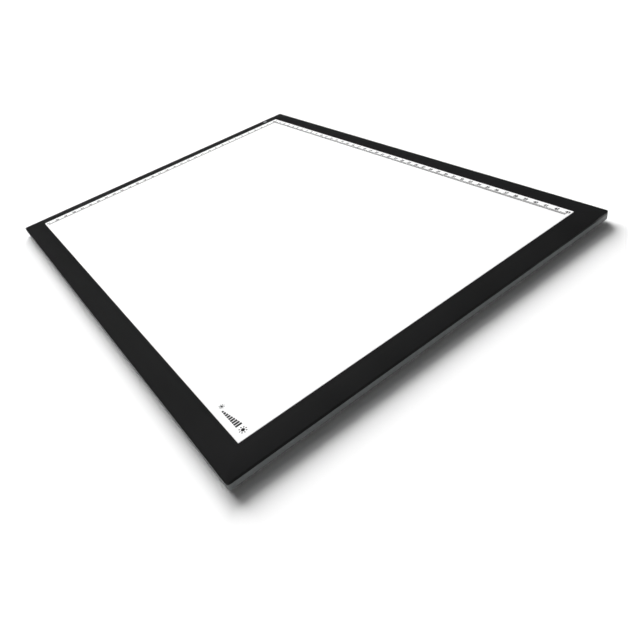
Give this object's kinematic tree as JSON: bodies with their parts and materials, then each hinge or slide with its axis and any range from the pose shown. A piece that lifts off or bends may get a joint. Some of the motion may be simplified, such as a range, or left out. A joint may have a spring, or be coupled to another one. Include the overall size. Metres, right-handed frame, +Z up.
{
  "type": "light box",
  "caption": "Thin A3 LED tracing pad: a flat black frame round a lit white drawing panel with centimetre rulers, on a shallow grey tray with rubber feet.",
  "frame": {"origin": "centre of the pad's outline, on the surface that its rubber feet stand on", "axes": "+X along the long edge, from the edge nearest the touch mark to the other; +Y from the user's edge to the far edge with the long ruler; +Z up, out of the drawing face"},
  "size_m": [0.472, 0.355, 0.0092],
  "materials": {
    "bezel_black": "flat black, finely textured moulding with a rounded top edge",
    "lit_acrylic": "opal acrylic with a matt drawing face, evenly lit from behind, black centimetre rulers printed along its far and left edges",
    "cover_grey": "mid-grey moulded ABS, fine spark texture",
    "foam_black": "black closed-cell foam tape",
    "film_white": "milky optical film",
    "clear_acrylic": "clear cast acrylic with polished edges",
    "reflector_white": "bright white diffuse film",
    "strip_white": "white solder mask with yellowish LED faces",
    "rail_aluminium": "mill-finish extrusion",
    "spacer_white": "white moulded bar",
    "board_green": "green solder mask",
    "chip_black": "black moulding compound",
    "capacitor_tan": "sintered ceramic with tinned ends",
    "ferrite_grey": "dark grey ferrite drum",
    "spring_steel": "tinned spring wire",
    "socket_black": "black heat-resistant plastic",
    "pin_brass": "plain turned pin",
    "lead_white": "soft white jacket",
    "screw_black": "black-oxide steel",
    "foot_rubber": "matt black rubber",
    "label_silver": "blank silver-grey polyester label"
  },
  "bodies": {
    "root": {"bezel_frame": "bezel_black", "drawing_panel": "lit_acrylic", "back_cover": "cover_grey", "light_seal": "foam_black", "prism_film": "film_white", "diffuser_film": "film_white", "light_guide": "clear_acrylic", "reflector_film": "reflector_white", "led_strip_front": "strip_white", "led_strip_rear": "strip_white", "led_rail_front": "rail_aluminium", "led_rail_rear": "rail_aluminium", "side_spacer_left": "spacer_white", "side_spacer_right": "spacer_white", "control_board": "board_green", "led_driver_chip": "chip_black", "dimmer_chip": "chip_black", "rectifier_diode": "chip_black", "input_capacitor": "capacitor_tan", "output_capacitor": "capacitor_tan", "inductor": "ferrite_grey", "lead_connector": "spacer_white", "touch_spring": "spring_steel", "power_socket": "socket_black", "socket_pin": "pin_brass", "led_lead_front": "lead_white", "led_link_right": "lead_white", "cover_screw_1": "screw_black", "cover_screw_2": "screw_black", "cover_screw_3": "screw_black", "cover_screw_4": "screw_black", "cover_screw_5": "screw_black", "cover_screw_6": "screw_black", "cover_screw_7": "screw_black", "cover_screw_8": "screw_black", "cover_screw_9": "screw_black", "cover_screw_10": "screw_black", "board_screw_1": "screw_black", "board_screw_2": "screw_black", "foot_1": "foot_rubber", "foot_2": "foot_rubber", "foot_3": "foot_rubber", "foot_4": "foot_rubber", "foot_5": "foot_rubber", "foot_6": "foot_rubber", "rating_label": "label_silver"}
  },
  "joints": []
}
